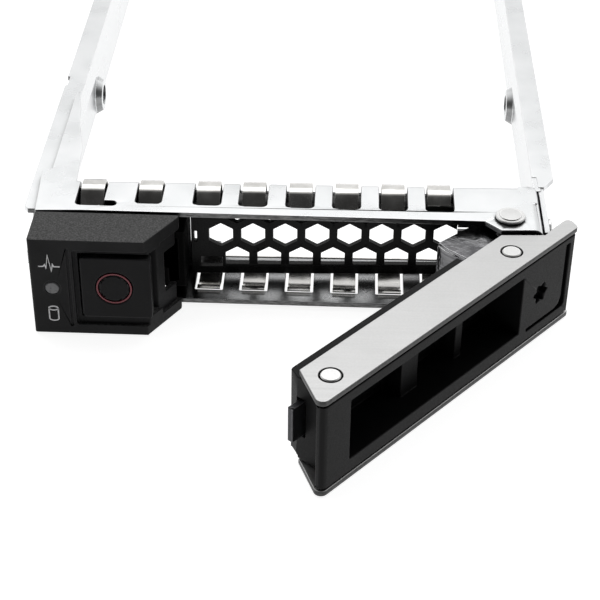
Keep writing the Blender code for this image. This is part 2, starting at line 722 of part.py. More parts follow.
def handle_rivet(name, spot, parent):
    shoulder = HANDLE_PLATE + 0.02
    profile = [(0, HANDLE_BOTTOM - 0.08), (HANDLE_RIVET_R - 0.15, HANDLE_BOTTOM - 0.08),
               (HANDLE_RIVET_R, HANDLE_BOTTOM + 0.05), (HANDLE_RIVET_R, HANDLE_BOTTOM + shoulder),
               (HANDLE_SHANK_R, HANDLE_BOTTOM + shoulder), (HANDLE_SHANK_R, HANDLE_TOP - shoulder),
               (HANDLE_RIVET_R, HANDLE_TOP - shoulder), (HANDLE_RIVET_R, HANDLE_TOP - 0.05),
               (HANDLE_RIVET_R - 0.15, HANDLE_TOP + 0.08), (0, HANDLE_TOP + 0.08)]
    return finish(turned(name, profile, spot, parent, "Z", 24), satin_steel())


def star(centre, radius, lobes=6):
    """A socket with rounded lobes."""
    points = []
    steps = lobes * 4
    for i in range(steps):
        angle = 2 * math.pi * i / steps
        reach = radius * (0.80 + 0.20 * math.cos(lobes * angle))
        points.append((centre[0] + reach * math.cos(angle), centre[1] + reach * math.sin(angle)))
    return points


def handle_body(parent):
    """The black moulding between the two plates, open to the front in three pockets."""
    low = HANDLE_BOTTOM + HANDLE_PLATE + GAP
    high = HANDLE_TOP - HANDLE_PLATE - GAP
    front = HANDLE_FRONT + 0.05
    outline = [(-49.6, front), (5.05, front), (5.95, -6.1), (cut_line(-6.1), -6.1),
               (cut_line(-0.3), -0.3), (-11.3, -0.3), (-11.3, BODY_REAR), (-45.6, BODY_REAR),
               (-46.4, -1.2), (-46.4, -6.7), (-49.0, -6.7)]
    outline = rounded(outline, [0.85, 0.6, 0.5, 0, 0, 0, 0, 0.2, 0, 0, 0.15])
    made = prism("handle_body", outline, low, high, parent)

    ears = [(-10.9, -7.0), (-2.0, -7.0), (6.0, -4.0), (6.0, 2.0), (-10.9, 2.0)]
    cut(made, "ear_seats", [(ears, 12.9, high + 1.0, "Z"), (ears, low - 1.0, 2.9, "Z")])
    flange_room = rectangle(-50.0, -11.0, HANDLE_REAR, 2.0)
    cut(made, "flange_room", [(flange_room, low - 1.0, 1.4, "Z")])

    pocket_low, pocket_high = 3.0, 12.6
    left, right = -42.8, -7.2
    depth_shallow, depth_full = -4.8, -1.6
    mouth = rectangle(left, right, -10.0, depth_shallow)
    cut(made, "opening", [(mouth, pocket_low, pocket_high, "Z")])
    ribs = [(-29.7, -26.2), (-18.0, -16.5)]
    edges = [left] + [edge for rib in ribs for edge in rib] + [right]
    pockets = [(rounded(rectangle(a, b, depth_shallow - 0.6, depth_full), [0, 0, 0.5, 0.5]),
                pocket_low, pocket_high, "Z") for a, b in zip(edges[::2], edges[1::2])]
    cut(made, "pockets", pockets)
    slope = [(-43.9, -10.0), (-43.9, front + 0.4), (-42.9, -6.4), (-42.0, -6.4), (-42.0, -10.0)]
    cut(made, "post_rounding", [(slope, pocket_low, pocket_high, "Z")])

    cut(made, "catch_slot", [(rectangle(-48.0, -43.1, -2.6, -1.1), 4.9, 10.9, "Z")])
    cut(made, "rivet_bores", [(circle(spot, HANDLE_BORE_R, 16), 0.0, 16.0, "Z") for spot in HANDLE_RIVETS])
    slit = [(2.9, 13.2), (2.9, 4.4), (2.4, 3.4), (1.6, 2.95), (-5.4, 2.95), (-5.4, 2.4), (3.4, 2.4),
            (3.9, 2.9), (3.9, 13.2)]
    cut(made, "flex_slit", [(slit, -10.0, -6.6, "Y")])
    cut(made, "star_socket", [(star((-2.7, 7.85), 1.75), -10.0, -7.0, "Y")])
    return finish(made, black_plastic())


def catch_plate(parent):
    """The flat steel tongue at the handle's free end, which the latch hooks."""
    outline = [(-48.5, -2.3), (-43.4, -2.3), (-43.4, -1.4), (-48.5, -1.4)]
    outline = rounded(outline, [0.2, 0, 0, 0.2])
    return finish(prism("catch_plate", outline, 5.2, 10.6, parent), black_steel())


def ear_outline():
    """An ear of the hinge bracket: riveted under a plate, and turning on the pivot."""
    points = [(-10.5, -6.6), (-3.4, -6.6)]
    points += arc((0, 0), 3.1, -70, 80, 8)
    points += [(-2.5, 4.2), (-10.0, 5.0), (-10.5, 3.0)]
    return points


def hinge_bracket(parent):
    """The steel bracket between handle and pivot: two ears joined by a curved wall."""
    made = prism("hinge_bracket", ear_outline(), 13.2, 14.0, parent)
    add(made, "lower_ear", [(ear_outline(), 1.8, 2.6, "Z")])
    wall = band(arc((-2.4, 2.2), 7.9, 160, 197, 6), SHEET)
    add(made, "wall", [(wall, 2.2, 13.6, "Z")])
    holes = [(circle((0, 0), PIVOT_R + GAP), 0.0, 16.0, "Z"),
             (circle(HANDLE_RIVETS[1], HANDLE_BORE_R, 16), 0.0, 16.0, "Z")]
    cut(made, "holes", holes)
    return finish(made, spring_steel())


def torsion_spring(parent):
    """The coil around the pivot that swings the handle open."""
    points = [(-7.6, 2.6, 4.0), (-2.4, 2.5, 4.0), (-0.6, 2.4, 4.05)]
    coil = coil_points((0, 0), 2.35, 4.1, 11.5, 6, 14, "Z")
    points += coil[4:-8]
    points += [(-2.9, 1.6, 11.3), (-3.3, 3.6, 11.4)]
    return finish(wire("torsion_spring", points, 0.3, parent), spring_steel(), 80)


def pivot_pin(parent):
    """The pin that the handle turns on, with a domed head above the tongue."""
    head = BRACKET_TOP + GAP
    profile = [(0, 0.05), (PIVOT_R - 0.2, 0.05), (PIVOT_R, 0.25), (PIVOT_R, head), (2.1, head),
               (2.1, head + 0.2), (2.0, head + 0.28), (1.65, head + 0.28), (1.57, head + 0.42),
               (0, head + 0.45)]
    return finish(turned("pivot_pin", profile, PIVOT, parent, "Z", 28), satin_steel())


# ---------------------------------------------------------------- assembly

def footprint_centre():
    """The middle of the carrier's footprint with its handle open."""
    turn = Matrix.Rotation(math.radians(OPEN_ANGLE), 2)
    corners = [Vector(PIVOT) + turn @ Vector(corner) for corner in plate_outline()]
    right = max(corner.x for corner in corners)
    front = min(corner.y for corner in corners)
    return (right - RAIL_FLANGE_OUT) / 2, (front + RAIL_END) / 2


def build():
    remove_everything()
    middle_x, middle_y = footprint_centre()
    carrier = empty("carrier", (-middle_x, -middle_y, -BASE), None)
    front_bracket(carrier)
    left_rail(carrier)
    right_rail(carrier)
    for side, word in ((-1, "left"), (1, "right")):
        for level, spot in zip(("lower", "upper"), rail_rivet_spots()):
            rail_rivet(f"rail_rivet_{word}_{level}", side, spot, carrier)
    light_pipe(carrier)
    grounding_strip_top(carrier)
    grounding_strip_bottom(carrier)
    bezel_cover(carrier)
    latch_housing(carrier)
    vent_grille(carrier)
    status_lens(carrier)
    button = empty("button_slide", (0, 0, 0), carrier)
    release_button(button)
    button_ring(button)
    button_spring(carrier)
    latch_lever(empty("latch_axis", (*LATCH_PIN, 0), carrier))
    latch_pin(carrier)
    pivot_pin(carrier)
    handle = empty("handle_pivot", (*PIVOT, 0), carrier, OPEN_ANGLE)
    handle_body(handle)
    handle_plate("handle_top_plate", HANDLE_TOP - HANDLE_PLATE, handle)
    handle_plate("handle_bottom_plate", HANDLE_BOTTOM, handle)
    handle_rivet("handle_rivet_free_end", HANDLE_RIVETS[0], handle)
    handle_rivet("handle_rivet_hinge_end", HANDLE_RIVETS[1], handle)
    catch_plate(handle)
    hinge_bracket(handle)
    torsion_spring(handle)


build()
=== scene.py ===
"""The looks of the hot-swap drive carrier: refined pieces, surface materials, floor, lights and camera."""

import json
import math

import bmesh
import bpy
from mathutils import Matrix, Vector

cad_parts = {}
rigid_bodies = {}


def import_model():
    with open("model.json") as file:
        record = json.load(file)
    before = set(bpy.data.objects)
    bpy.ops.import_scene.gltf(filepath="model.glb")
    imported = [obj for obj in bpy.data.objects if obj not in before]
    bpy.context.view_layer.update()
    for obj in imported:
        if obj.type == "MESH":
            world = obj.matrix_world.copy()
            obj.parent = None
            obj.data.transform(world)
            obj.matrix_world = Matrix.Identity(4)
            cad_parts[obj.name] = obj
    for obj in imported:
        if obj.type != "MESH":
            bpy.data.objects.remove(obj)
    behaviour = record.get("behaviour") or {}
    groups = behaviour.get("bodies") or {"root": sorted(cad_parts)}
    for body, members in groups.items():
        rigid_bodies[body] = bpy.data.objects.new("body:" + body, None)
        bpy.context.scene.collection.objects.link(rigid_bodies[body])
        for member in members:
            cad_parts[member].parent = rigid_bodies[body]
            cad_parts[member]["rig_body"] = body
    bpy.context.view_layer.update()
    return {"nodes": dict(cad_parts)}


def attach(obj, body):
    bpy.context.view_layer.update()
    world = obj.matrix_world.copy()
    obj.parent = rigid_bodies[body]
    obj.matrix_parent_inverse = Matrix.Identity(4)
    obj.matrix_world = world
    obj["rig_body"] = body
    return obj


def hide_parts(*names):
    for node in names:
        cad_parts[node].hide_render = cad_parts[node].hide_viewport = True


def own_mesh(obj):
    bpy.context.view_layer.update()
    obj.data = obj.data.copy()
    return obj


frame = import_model()
MM = 0.001

# Where the carrier's own coordinates (0 midway between the rails, at the bracket's front edge and
# under the bracket) lie in the row frame, in millimetres
ORIGIN = Vector((-1.0471043, -49.0652152, 0.3))
PIVOT = Vector((31.29, 1.69, 0.0))
OPEN_ANGLE = math.radians(50.0)

# Measures of the CAD that the pieces below share, in millimetres: the cover's front (Y), the status
# light's centre (X, Z), the handle plates' outer faces (Z) and thickness, and their rivet holes
COVER_FRONT = -7.5
LENS_CENTRE = (-33.45, 7.5)
HANDLE_TOP = 15.2
HANDLE_BOTTOM = -0.2
HANDLE_PLATE = 0.8
HANDLE_RIVETS = ((-44.35, -4.9), (-6.3, -4.9))
RIVET_HOLE_R = 1.55

# How the edges of the refined pieces are rounded
ROUNDING_SEGMENTS = 2
SHARP_EDGE = math.radians(35.0)
BOXY_PIECES = ("bezel_cover", "release_button")

# Sockets of the Mix node when it mixes colours
MIX_FIRST, MIX_SECOND, MIX_RESULT = 6, 7, 2


def place(x, y, z):
    """A point of the carrier's own coordinates, in millimetres, in the row frame in metres."""
    return (Vector((x, y, z)) + ORIGIN) * MM


def handle_place(u, v, z):
    """A point of the closed handle, about its pivot, in the row frame with the handle open."""
    turned = Matrix.Rotation(OPEN_ANGLE, 3, "Z") @ Vector((u, v, z))
    return (turned + PIVOT + ORIGIN) * MM


def new_object(name, data):
    """An object made from mesh, light or camera data and put in the scene."""
    made = bpy.data.objects.new(name, data)
    bpy.context.scene.collection.objects.link(made)
    return made


# ---------------------------------------------------------------- material helpers

def new_material(name, colour, roughness, metallic=0.0, specular=0.5):
    made = bpy.data.materials.new(name)
    made.use_nodes = True
    shader = made.node_tree.nodes["Principled BSDF"]
    shader.inputs["Base Color"].default_value = (*colour, 1.0)
    shader.inputs["Roughness"].default_value = roughness
    shader.inputs["Metallic"].default_value = metallic
    shader.inputs["Specular IOR Level"].default_value = specular
    return made, made.node_tree, shader


def node(tree, kind, **values):
    """A shader node with its settings and its unlinked inputs."""
    made = tree.nodes.new(kind)
    for key, value in values.items():
        if key in made.inputs:
            made.inputs[key].default_value = value
        else:
            setattr(made, key, value)
    return made


def coordinates(tree, scale=(1.0, 1.0, 1.0), turn=0.0):
    """Object coordinates in metres, stretched and turned about Z."""
    source = node(tree, "ShaderNodeTexCoord")
    mapping = node(tree, "ShaderNodeMapping")
    mapping.inputs["Scale"].default_value = scale
    mapping.inputs["Rotation"].default_value = (0.0, 0.0, turn)
    tree.links.new(source.outputs["Object"], mapping.inputs["Vector"])
    return mapping.outputs["Vector"]


def noise(tree, vector, scale, detail=3.0, rough=0.5):
    made = node(tree, "ShaderNodeTexNoise", Scale=scale, Detail=detail, Roughness=rough)
    tree.links.new(vector, made.inputs["Vector"])
    return made.outputs["Fac"]


def ramp(tree, source, stops):
    """A colour ramp: stops are (position, grey or colour)."""
    made = node(tree, "ShaderNodeValToRGB")
    points = made.color_ramp.elements
    while len(points) < len(stops):
        points.new(0.5)
    for point, (position, value) in zip(points, stops):
        point.position = position
        colour = value if isinstance(value, tuple) else (value, value, value)
        point.color = (*colour, 1.0)
    tree.links.new(source, made.inputs["Fac"])
    return made.outputs["Color"]


def bump(tree, shader, height, strength, distance, below=None):
    made = node(tree, "ShaderNodeBump", Strength=strength, Distance=distance)
    tree.links.new(height, made.inputs["Height"])
    if below is not None:
        tree.links.new(below, made.inputs["Normal"])
    tree.links.new(made.outputs["Normal"], shader.inputs["Normal"])
    return made.outputs["Normal"]


def blend_colours(tree, share, first, second):
    made = node(tree, "ShaderNodeMix", data_type="RGBA")
    tree.links.new(share, made.inputs["Factor"])
    for socket, value in ((made.inputs[MIX_FIRST], first), (made.inputs[MIX_SECOND], second)):
        if isinstance(value, tuple):
            socket.default_value = (*value, 1.0)
        else:
            tree.links.new(value, socket)
    return made.outputs[MIX_RESULT]


def edge_mask(tree, reach):
    """1 close to a convex or concave edge, 0 on flat faces."""
    rounded = node(tree, "ShaderNodeBevel", samples=4, Radius=reach)
    geometry = node(tree, "ShaderNodeNewGeometry")
    compare = node(tree, "ShaderNodeVectorMath", operation="DOT_PRODUCT")
    tree.links.new(rounded.outputs["Normal"], compare.inputs[0])
    tree.links.new(geometry.outputs["Normal"], compare.inputs[1])
    return ramp(tree, compare.outputs["Value"], [(0.90, 1.0), (0.995, 0.0)])


def direction_part(tree, axis, kind="True Normal"):
    """How much a face, or its shaded surface, looks along one axis of the row frame: -1 to 1."""
    geometry = node(tree, "ShaderNodeNewGeometry")
    parts = node(tree, "ShaderNodeSeparateXYZ")
    tree.links.new(geometry.outputs[kind], parts.inputs["Vector"])
    return parts.outputs[axis]


def crevices(tree, reach, stops):
    """A share that is high where other faces stand close by."""
    shelter = node(tree, "ShaderNodeAmbientOcclusion", samples=8, Distance=reach)
    return ramp(tree, shelter.outputs["AO"], stops)


def front_shade_share(tree):
    """1 on faces that look straight towards the front, the sheet's cut edges among them."""
    share = node(tree, "ShaderNodeMapRange")
    share.inputs["From Min"].default_value = -0.80
    share.inputs["From Max"].default_value = -0.95
    tree.links.new(direction_part(tree, "Y"), share.inputs["Value"])
    return share.outputs["Result"]


def channel_shade_share(tree):
    """How much painted shade a face gets deep inside the bracket's channel: 0 on open faces and on all
    sideways faces.
    """
    depth = crevices(tree, 0.018, [(0.42, 1.0), (0.80, 0.0)])
    sideways = node(tree, "ShaderNodeMath", operation="ABSOLUTE")
    tree.links.new(direction_part(tree, "X"), sideways.inputs[0])
    across = ramp(tree, sideways.outputs["Value"], [(0.4, 1.0), (0.7, 0.0)])
    share = node(tree, "ShaderNodeMath", operation="MULTIPLY")
    tree.links.new(depth, share.inputs[0])
    tree.links.new(across, share.inputs[1])
    return share.outputs["Value"]


# ---------------------------------------------------------------- materials

def zinc_material():
    """Bright zinc-plated sheet: fine rolling lines, faint cloudiness, brighter edges as a painted
    highlight, and painted shade in crevices, deep in the bracket's channel and on faces that look to the
    front.
    """
    made, tree, shader = new_material("zinc_plate", (0.80, 0.81, 0.81), 0.26, 1.0)
    lines = noise(tree, coordinates(tree, (60.0, 2600.0, 900.0)), 1.0, 4.0, 0.6)
    clouds = noise(tree, coordinates(tree), 140.0, 4.0, 0.55)
    fine = noise(tree, coordinates(tree), 2600.0, 2.0, 0.5)
    shade = ramp(tree, clouds, [(0.25, (0.65, 0.66, 0.665)), (0.50, (0.69, 0.70, 0.705)),
                                (0.75, (0.73, 0.735, 0.74))])
    # Painted highlight: the colour is lighter close to every edge.
    edges = edge_mask(tree, 0.00035)
    bright = blend_colours(tree, edges, shade, (0.78, 0.785, 0.79))
    # Painted shade: darker grey where other faces stand close by, in creases and corners.
    close_by = crevices(tree, 0.0010, [(0.30, 1.0), (0.72, 0.0)])
    with_painted_shade = blend_colours(tree, close_by, bright, (0.22, 0.22, 0.225))
    # Painted shade: near black deep inside the bracket's channel.
    with_painted_shade = blend_colours(tree, channel_shade_share(tree), with_painted_shade, (0.075, 0.075, 0.077))
    # Faces that look to the front are painted a dark, streaky grey: darker cut edges, and painted shade
    # over all such faces.
    lines_apart = noise(tree, coordinates(tree, (900.0, 900.0, 5200.0)), 1.0, 2.0, 0.6)
    cut_edge_and_shade = ramp(tree, lines_apart, [(0.3, 0.05), (0.7, 0.16)])
    colour = blend_colours(tree, front_shade_share(tree), with_painted_shade, cut_edge_and_shade)
    tree.links.new(colour, shader.inputs["Base Color"])
    gloss = ramp(tree, clouds, [(0.30, 0.25), (0.70, 0.33)])
    tree.links.new(gloss, shader.inputs["Roughness"])
    first = bump(tree, shader, lines, 0.10, 0.00002)
    bump(tree, shader, fine, 0.12, 0.00001, first)
    return made


def satin_material(name, colour, turn, roughness=0.40, spread=0.12, sides=None):
    """Satin steel: brushed grain along one direction, faint specks, and edges painted lighter as a painted
    highlight. Where sides is given, the upright faces, the plate's cut edges, are painted that darker
    grey: painted shade."""
    made, tree, shader = new_material(name, colour, roughness, 1.0)
    grain = noise(tree, coordinates(tree, (90.0, 3800.0, 900.0), turn), 1.0, 3.0, 0.6)
    specks = noise(tree, coordinates(tree), 3600.0, 2.0, 0.6)
    clouds = noise(tree, coordinates(tree), 110.0, 3.0, 0.5)
    low = tuple(value * (1.0 - spread) for value in colour)
    high = tuple(min(value * (1.0 + spread * 0.7), 1.0) for value in colour)
    shade = ramp(tree, specks, [(0.30, low), (0.70, high)])
    cloudy = ramp(tree, clouds, [(0.35, low), (0.65, high)])
    mixed = node(tree, "ShaderNodeMix", data_type="RGBA", blend_type="MIX")
    mixed.inputs["Factor"].default_value = 0.35
    tree.links.new(shade, mixed.inputs[MIX_FIRST])
    tree.links.new(cloudy, mixed.inputs[MIX_SECOND])
    # Painted highlight: lighter colour close to edges.
    edges = edge_mask(tree, 0.0003)
    edge_highlight_colour = tuple(min(value * 1.35, 0.95) for value in colour)
    surface = blend_colours(tree, edges, mixed.outputs[MIX_RESULT], edge_highlight_colour)
    # Painted shade: the upright faces get a darker, streaky grey.
    if sides is not None:
        cut_edge_and_shade = ramp(tree, grain, [(0.3, sides * 0.6), (0.7, sides * 1.5)])
        upright = ramp(tree, direction_part(tree, "Z"), [(0.35, 1.0), (0.60, 0.0)])
        surface = blend_colours(tree, upright, surface, cut_edge_and_shade)
    tree.links.new(surface, shader.inputs["Base Color"])
    gloss = ramp(tree, grain, [(0.3, roughness - 0.05), (0.7, roughness + 0.07)])
    tree.links.new(gloss, shader.inputs["Roughness"])
    first = bump(tree, shader, grain, spread, 0.00002)
    bump(tree, shader, specks, spread, 0.00001, first)
    return made


def dark_sheet_material():
    """Dark, glossy spring sheet with a lightly dented, streaky surface."""
    made, tree, shader = new_material("dark_sheet", (0.15, 0.15, 0.155), 0.18, 1.0)
    dents = noise(tree, coordinates(tree, (1.0, 1.0, 0.5)), 520.0, 3.0, 0.55)
    streaks = noise(tree, coordinates(tree, (300.0, 300.0, 2600.0)), 1.0, 3.0, 0.6)
    shade = ramp(tree, streaks, [(0.3, (0.08, 0.08, 0.085)), (0.7, (0.22, 0.22, 0.225))])
    # Painted highlight: the edges are painted a much lighter grey.
    edges = edge_mask(tree, 0.0003)
    tree.links.new(blend_colours(tree, edges, shade, (0.55, 0.55, 0.56)), shader.inputs["Base Color"])
    tree.links.new(ramp(tree, dents, [(0.3, 0.10), (0.7, 0.28)]), shader.inputs["Roughness"])
    first = bump(tree, shader, dents, 0.5, 0.00025)
    bump(tree, shader, streaks, 0.15, 0.00002, first)
    return made


def spring_material():
    """Polished spring steel, slightly warm, with faint drawn lines."""
    made, tree, shader = new_material("bright_spring", (0.70, 0.69, 0.66), 0.17, 1.0)
    clouds = noise(tree, coordinates(tree), 420.0, 3.0, 0.5)
    lines = noise(tree, coordinates(tree, (3000.0, 120.0, 120.0)), 1.0, 3.0, 0.6)
    shade = ramp(tree, clouds, [(0.3, (0.58, 0.57, 0.55)), (0.7, (0.76, 0.75, 0.73))])
    tree.links.new(shade, shader.inputs["Base Color"])
    tree.links.new(ramp(tree, clouds, [(0.3, 0.12), (0.7, 0.24)]), shader.inputs["Roughness"])
    bump(tree, shader, lines, 0.08, 0.00002)
    return made


def moulded_material(name, colour, roughness, grain_size, grain_depth, specular=0.4, top=None):
    """Black moulding: eroded mould grain, slight mottling, and edges painted a little lighter as a painted
    highlight. Where top is given, faces that look up are painted that lighter grey, mottled by the grain:
    a painted top light."""
    made, tree, shader = new_material(name, colour, roughness, 0.0, specular)
    grain = noise(tree, coordinates(tree), 1.0 / grain_size, 2.0, 0.6)
    clouds = noise(tree, coordinates(tree), 160.0, 3.0, 0.5)
    low = tuple(value * 0.75 for value in colour)
    high = tuple(value * 1.35 for value in colour)
    shade = ramp(tree, clouds, [(0.3, low), (0.7, high)])
    # Painted top light: faces that look up get a lighter, grain-mottled grey.
    if top is not None:
        upward = ramp(tree, direction_part(tree, "Z", "Normal"), [(0.45, 0.0), (0.95, 1.0)])
        painted_top_light = ramp(tree, grain, [(0.32, top * 0.45), (0.5, top * 0.95), (0.72, top * 1.9)])
        shade = blend_colours(tree, upward, shade, painted_top_light)
    # Painted highlight: edges lighter than the faces.
    edges = edge_mask(tree, 0.00025)
    edge_highlight_grey = tuple(value * 2.4 + 0.010 for value in colour)
    tree.links.new(blend_colours(tree, edges, shade, edge_highlight_grey), shader.inputs["Base Color"])
    tree.links.new(ramp(tree, grain, [(0.35, roughness - 0.06), (0.65, roughness + 0.08)]),
                   shader.inputs["Roughness"])
    bump(tree, shader, grain, grain_depth, 0.00003)
    return made


def clear_material():
    """Clear light-guide plastic with faint moulding haze."""
    made, tree, shader = new_material("clear_guide", (0.86, 0.90, 0.92), 0.10)
    haze = noise(tree, coordinates(tree), 600.0, 2.0, 0.5)
    tree.links.new(ramp(tree, haze, [(0.3, 0.06), (0.7, 0.20)]), shader.inputs["Roughness"])
    tree.links.new(ramp(tree, haze, [(0.3, (0.80, 0.85, 0.87)), (0.7, (0.90, 0.94, 0.95))]),
                   shader.inputs["Base Color"])
    shader.inputs["Transmission Weight"].default_value = 0.75
    shader.inputs["IOR"].default_value = 1.49
    return made


def tinted_material(name, colour, roughness):
    """Small coloured plastic or ink with faint mottling."""
    made, tree, shader = new_material(name, colour, roughness)
    mottle = noise(tree, coordinates(tree), 2400.0, 2.0, 0.5)
    low = tuple(value * 0.85 for value in colour)
    high = tuple(min(value * 1.15, 1.0) for value in colour)
    tree.links.new(ramp(tree, mottle, [(0.3, low), (0.7, high)]), shader.inputs["Base Color"])
    tree.links.new(ramp(tree, mottle, [(0.3, roughness - 0.05), (0.7, roughness + 0.05)]),
                   shader.inputs["Roughness"])
    bump(tree, shader, mottle, 0.1, 0.00001)
    return made


def black_steel_material():
    """Black oxide steel with a slight sheen and edges painted lighter, a painted highlight."""
    made, tree, shader = new_material("black_oxide", (0.045, 0.045, 0.05), 0.35, 0.8)
    clouds = noise(tree, coordinates(tree), 500.0, 3.0, 0.6)
    # Painted highlight: edges painted a light grey.
    edges = edge_mask(tree, 0.0002)
    shade = ramp(tree, clouds, [(0.3, (0.03, 0.03, 0.033)), (0.7, (0.07, 0.07, 0.075))])
    tree.links.new(blend_colours(tree, edges, shade, (0.32, 0.32, 0.33)), shader.inputs["Base Color"])
    tree.links.new(ramp(tree, clouds, [(0.3, 0.28), (0.7, 0.45)]), shader.inputs["Roughness"])
    bump(tree, shader, clouds, 0.1, 0.00001)
    return made


ZINC = zinc_material()
PLATE = satin_material("handle_satin", (0.47, 0.47, 0.468), -OPEN_ANGLE, 0.42, 0.05, 0.06)
RIVET = satin_material("rivet_satin", (0.58, 0.58, 0.575), 0.6, 0.36, 0.08)
SPRING = spring_material()
# The cover's last number, 0.075, is the grey of its painted top light.
COVER = moulded_material("cover_grain", (0.010, 0.010, 0.0105), 0.50, 0.00022, 0.5, 0.10, 0.075)
BUTTON = moulded_material("button_black", (0.006, 0.006, 0.0065), 0.42, 0.00018, 0.2, 0.10)
HANDLE = moulded_material("handle_black", (0.0045, 0.0045, 0.0048), 0.46, 0.00020, 0.25, 0.10)
GRILLE = moulded_material("grille_black", (0.004, 0.004, 0.004), 0.30, 0.00025, 0.15, 0.10)
HOUSING = moulded_material("housing_black", (0.0035, 0.0035, 0.0035), 0.80, 0.00025, 0.3, 0.02)
DARK_SHEET = dark_sheet_material()
CLEAR = clear_material()
LENS = tinted_material("lens_grey", (0.10, 0.10, 0.105), 0.30)
RED = tinted_material("ring_red", (0.15, 0.012, 0.022), 0.45)
INK = tinted_material("symbol_ink", (0.55, 0.55, 0.56), 0.45)
BLACK_STEEL = black_steel_material()


# ---------------------------------------------------------------- refined CAD pieces

def body_of(name):
    return frame["nodes"][name]["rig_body"]


def clean_copy(name, split):
    """A bmesh of a CAD node with its seams closed and its flat faces made whole, then, where wanted,
    split into triangles again, which keeps the rounding of edges around holes clean."""
    mesh = bmesh.new()
    mesh.from_mesh(frame["nodes"][name].data)
    bmesh.ops.remove_doubles(mesh, verts=mesh.verts, dist=2e-7)
    bmesh.ops.dissolve_limit(mesh, angle_limit=math.radians(0.6), verts=mesh.verts,
                             edges=mesh.edges, delimit=set())
    if split:
        many = [face for face in mesh.faces if len(face.verts) > 4]
        bmesh.ops.triangulate(mesh, faces=many, quad_method="BEAUTY", ngon_method="BEAUTY")
    return mesh


def refined(name, material, width, split):
    """A piece with the CAD node's shape and softly rounded edges, shown in its place. Boxy pieces keep
    plain flat faces, the others get smooth shading between their roundings."""
    mesh = clean_copy(name, split)
    data = bpy.data.meshes.new(name + "_refined")
    mesh.to_mesh(data)
    mesh.free()
    data.materials.append(material)
    piece = new_object(name + "_refined", data)
    boxy = name in BOXY_PIECES
    if boxy:
        data.shade_flat()
    else:
        data.shade_smooth()
    bevel = piece.modifiers.new("edge_rounding", "BEVEL")
    bevel.width = width * MM
    bevel.segments = ROUNDING_SEGMENTS
    bevel.limit_method = "ANGLE"
    bevel.angle_limit = SHARP_EDGE
    bevel.use_clamp_overlap = False
    bevel.miter_outer = "MITER_ARC"
    bevel.face_strength_mode = "FSTR_ALL"
    if not boxy:
        weighted = piece.modifiers.new("face_normals", "WEIGHTED_NORMAL")
        weighted.weight = 100
        weighted.use_face_influence = True
    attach(piece, body_of(name))
    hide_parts(name)


def repaint(name, material):
    """A CAD node that is shown as it is, with a finished material."""
    data = frame["nodes"][name].data
    for index in range(len(data.materials)):
        data.materials[index] = material
    data.shade_smooth()


# Node: (material, width of its rounded edges in millimetres)
REFINED = {
    "front_bracket": (ZINC, 0.12), "left_rail": (ZINC, 0.10), "right_rail": (ZINC, 0.10),
    "bezel_cover": (COVER, 0.11), "release_button": (BUTTON, 0.20), "handle_body": (HANDLE, 0.15),
    "vent_grille": (GRILLE, 0.10), "latch_housing": (HOUSING, 0.12), "hinge_bracket": (DARK_SHEET, 0.12),
    "catch_plate": (BLACK_STEEL, 0.12), "latch_lever": (HOUSING, 0.10), "light_pipe": (CLEAR, 0.10),
    "grounding_strip_top": (SPRING, 0.04), "grounding_strip_bottom": (SPRING, 0.04),
}
for name, (material, width) in REFINED.items():
    refined(name, material, width, split="rail" not in name)

for name in ("rail_rivet_left_lower", "rail_rivet_left_upper", "rail_rivet_right_lower",
             "rail_rivet_right_upper", "handle_rivet_free_end", "handle_rivet_hinge_end", "pivot_pin",
             "latch_pin"):
    repaint(name, RIVET)
repaint("torsion_spring", SPRING)
repaint("status_lens", LENS)
repaint("button_ring", RED)


# ---------------------------------------------------------------- button spring

def button_spring():
    """The coil behind the button, fixed at its rear end: its own copy of the CAD node, in spring steel."""
    data = frame["nodes"]["button_spring"].data.copy()
    data.materials.clear()
    data.materials.append(SPRING)
    data.shade_smooth()
    piece = new_object("button_spring_coil", data)
    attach(piece, body_of("button_spring"))
    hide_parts("button_spring")
    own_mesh(piece)


button_spring()


# ---------------------------------------------------------------- handle plates

def rounded(points, radii, steps=8):
    """A closed outline with its corners rounded. A radius of 0 keeps a corner sharp."""
    result = []
    count = len(points)
    for i, (corner, radius) in enumerate(zip(points, radii)):
        here = Vector(corner)
        if radius <= 0:
            result.append(here)
            continue
        back = (Vector(points[i - 1]) - here).normalized()
        ahead = (Vector(points[(i + 1) % count]) - here).normalized()
        half = back.angle(ahead) / 2
        reach = radius / math.tan(half)
        centre = here + (back + ahead).normalized() * (radius / math.sin(half))
        start = here + back * reach - centre
        sweep = start.angle_signed(here + ahead * reach - centre)
        for k in range(steps + 1):
            spoke = start.copy()
            spoke.rotate(Matrix.Rotation(-sweep * k / steps, 2))
            result.append(centre + spoke)
    return result


def shifted(loop, distance):
    """A closed loop moved sideways, to the left of its direction."""
    count = len(loop)
    moved = []
    for i, here in enumerate(loop):
        before = (here - loop[i - 1]).normalized()
        after = (loop[(i + 1) % count] - here).normalized()
        first = Vector((-before.y, before.x))
        second = Vector((-after.y, after.x))
        middle = (first + second).normalized()
        moved.append(here + middle * distance / max(middle.dot(first), 0.5))
    return moved


def plate_loops():
    """The outline of a handle plate, anticlockwise, and its two rivet holes, clockwise."""
    slanted_end = [((-3.72 - 0.682 * depth) / 0.731, depth) for depth in (-5.85, -1.3)]
    points = [(-50.0, -8.1), (5.35, -8.1), (6.5, -5.65), (2.6, -5.65), *slanted_end, (-46.2, -1.3)]
    loops = [rounded(points, [1.0, 0.8, 0.75, 0, 0, 0.15, 0.2])]
    steps = 40
    for centre in HANDLE_RIVETS:
        loops.append([Vector((centre[0] + RIVET_HOLE_R * math.cos(-math.tau * k / steps),
                              centre[1] + RIVET_HOLE_R * math.sin(-math.tau * k / steps)))
                      for k in range(steps)])
    return loops


